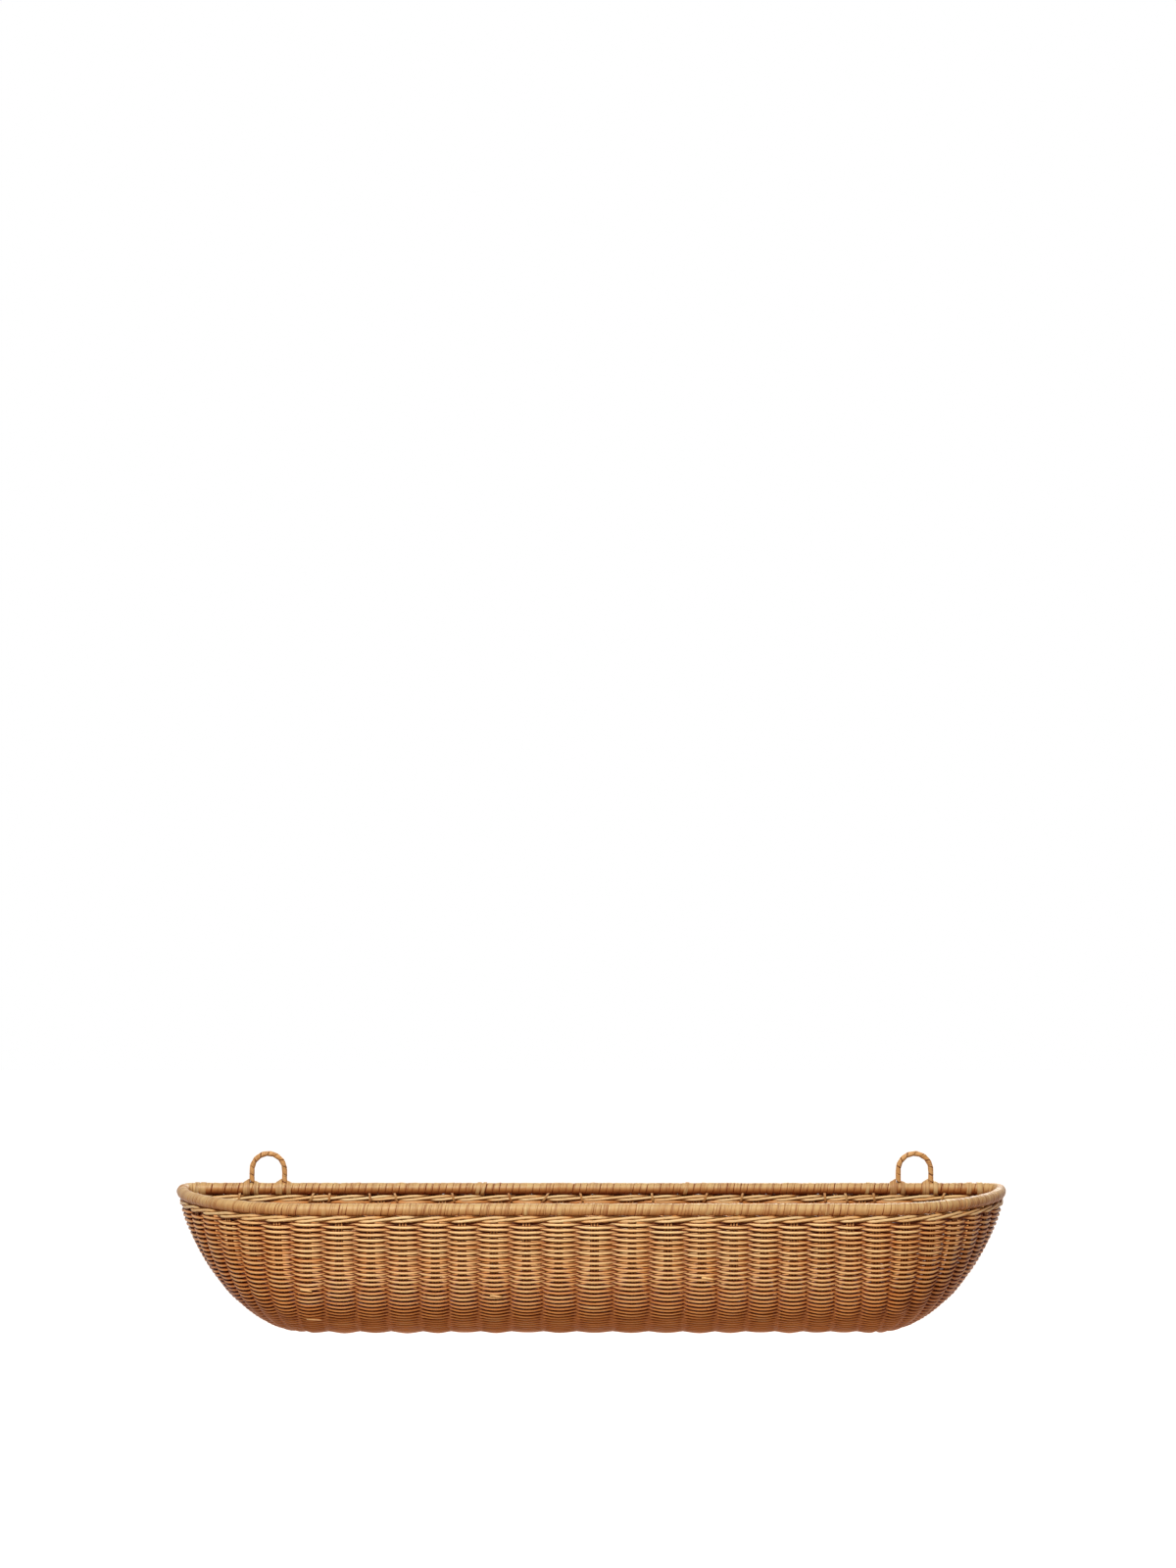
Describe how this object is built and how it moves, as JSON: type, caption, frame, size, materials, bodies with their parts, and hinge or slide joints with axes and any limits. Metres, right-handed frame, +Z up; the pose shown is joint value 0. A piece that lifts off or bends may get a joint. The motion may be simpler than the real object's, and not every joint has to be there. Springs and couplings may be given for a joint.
{
  "type": "wall basket",
  "caption": "Long boat-shaped wall basket with a flat back, a bound D-shaped rim, twined walls over grouped stakes and two standing eyes to hang it by.",
  "frame": {"origin": "on the wall plane, midway between the two eyes, at the height where a hook carries them (inside top of the eyes)", "axes": "+X along the wall, to the right seen from the front; +Y into the wall, so the basket stands out towards -Y; +Z up"},
  "size_m": [0.85, 0.19, 0.1754],
  "materials": {
    "woven_reed": "satin, smoked rattan reed",
    "wale_reed": "satin, smoked rattan reed",
    "rim_peel": "semi-gloss rattan peel",
    "eye_peel": "semi-gloss rattan peel",
    "rattan_core": "dull rattan core"
  },
  "bodies": {
    "root": {"back_rim_core": "rattan_core", "back_rim_wrap": "rim_peel", "back_wale": "wale_reed", "cross_stake_01": "rattan_core", "cross_stake_02": "rattan_core", "cross_stake_03": "rattan_core", "cross_stake_04": "rattan_core", "cross_stake_05": "rattan_core", "cross_stake_06": "rattan_core", "cross_stake_07": "rattan_core", "cross_stake_08": "rattan_core", "cross_stake_09": "rattan_core", "cross_stake_10": "rattan_core", "cross_stake_11": "rattan_core", "cross_stake_12": "rattan_core", "cross_stake_13": "rattan_core", "cross_stake_14": "rattan_core", "cross_stake_15": "rattan_core", "cross_stake_16": "rattan_core", "cross_stake_17": "rattan_core", "cross_stake_18": "rattan_core", "cross_stake_19": "rattan_core", "front_rim_core": "rattan_core", "front_rim_wrap": "rim_peel", "front_wale": "wale_reed", "left_back_stake_1": "rattan_core", "left_back_stake_2": "rattan_core", "left_back_stake_3": "rattan_core", "left_edge_stake": "rattan_core", "left_eye_core": "rattan_core", "left_eye_inner_lashing": "eye_peel", "left_eye_outer_lashing": "eye_peel", "left_eye_wrap": "eye_peel", "left_fan_stake_1": "rattan_core", "left_fan_stake_2": "rattan_core", "left_fan_stake_3": "rattan_core", "left_fan_stake_4": "rattan_core", "left_fan_stake_5": "rattan_core", "left_fan_stake_6": "rattan_core", "left_fan_stake_7": "rattan_core", "right_back_stake_1": "rattan_core", "right_back_stake_2": "rattan_core", "right_back_stake_3": "rattan_core", "right_edge_stake": "rattan_core", "right_eye_core": "rattan_core", "right_eye_inner_lashing": "eye_peel", "right_eye_outer_lashing": "eye_peel", "right_eye_wrap": "eye_peel", "right_fan_stake_1": "rattan_core", "right_fan_stake_2": "rattan_core", "right_fan_stake_3": "rattan_core", "right_fan_stake_4": "rattan_core", "right_fan_stake_5": "rattan_core", "right_fan_stake_6": "rattan_core", "right_fan_stake_7": "rattan_core", "woven_back": "woven_reed", "woven_base": "woven_reed", "woven_front": "woven_reed"}
  },
  "joints": []
}
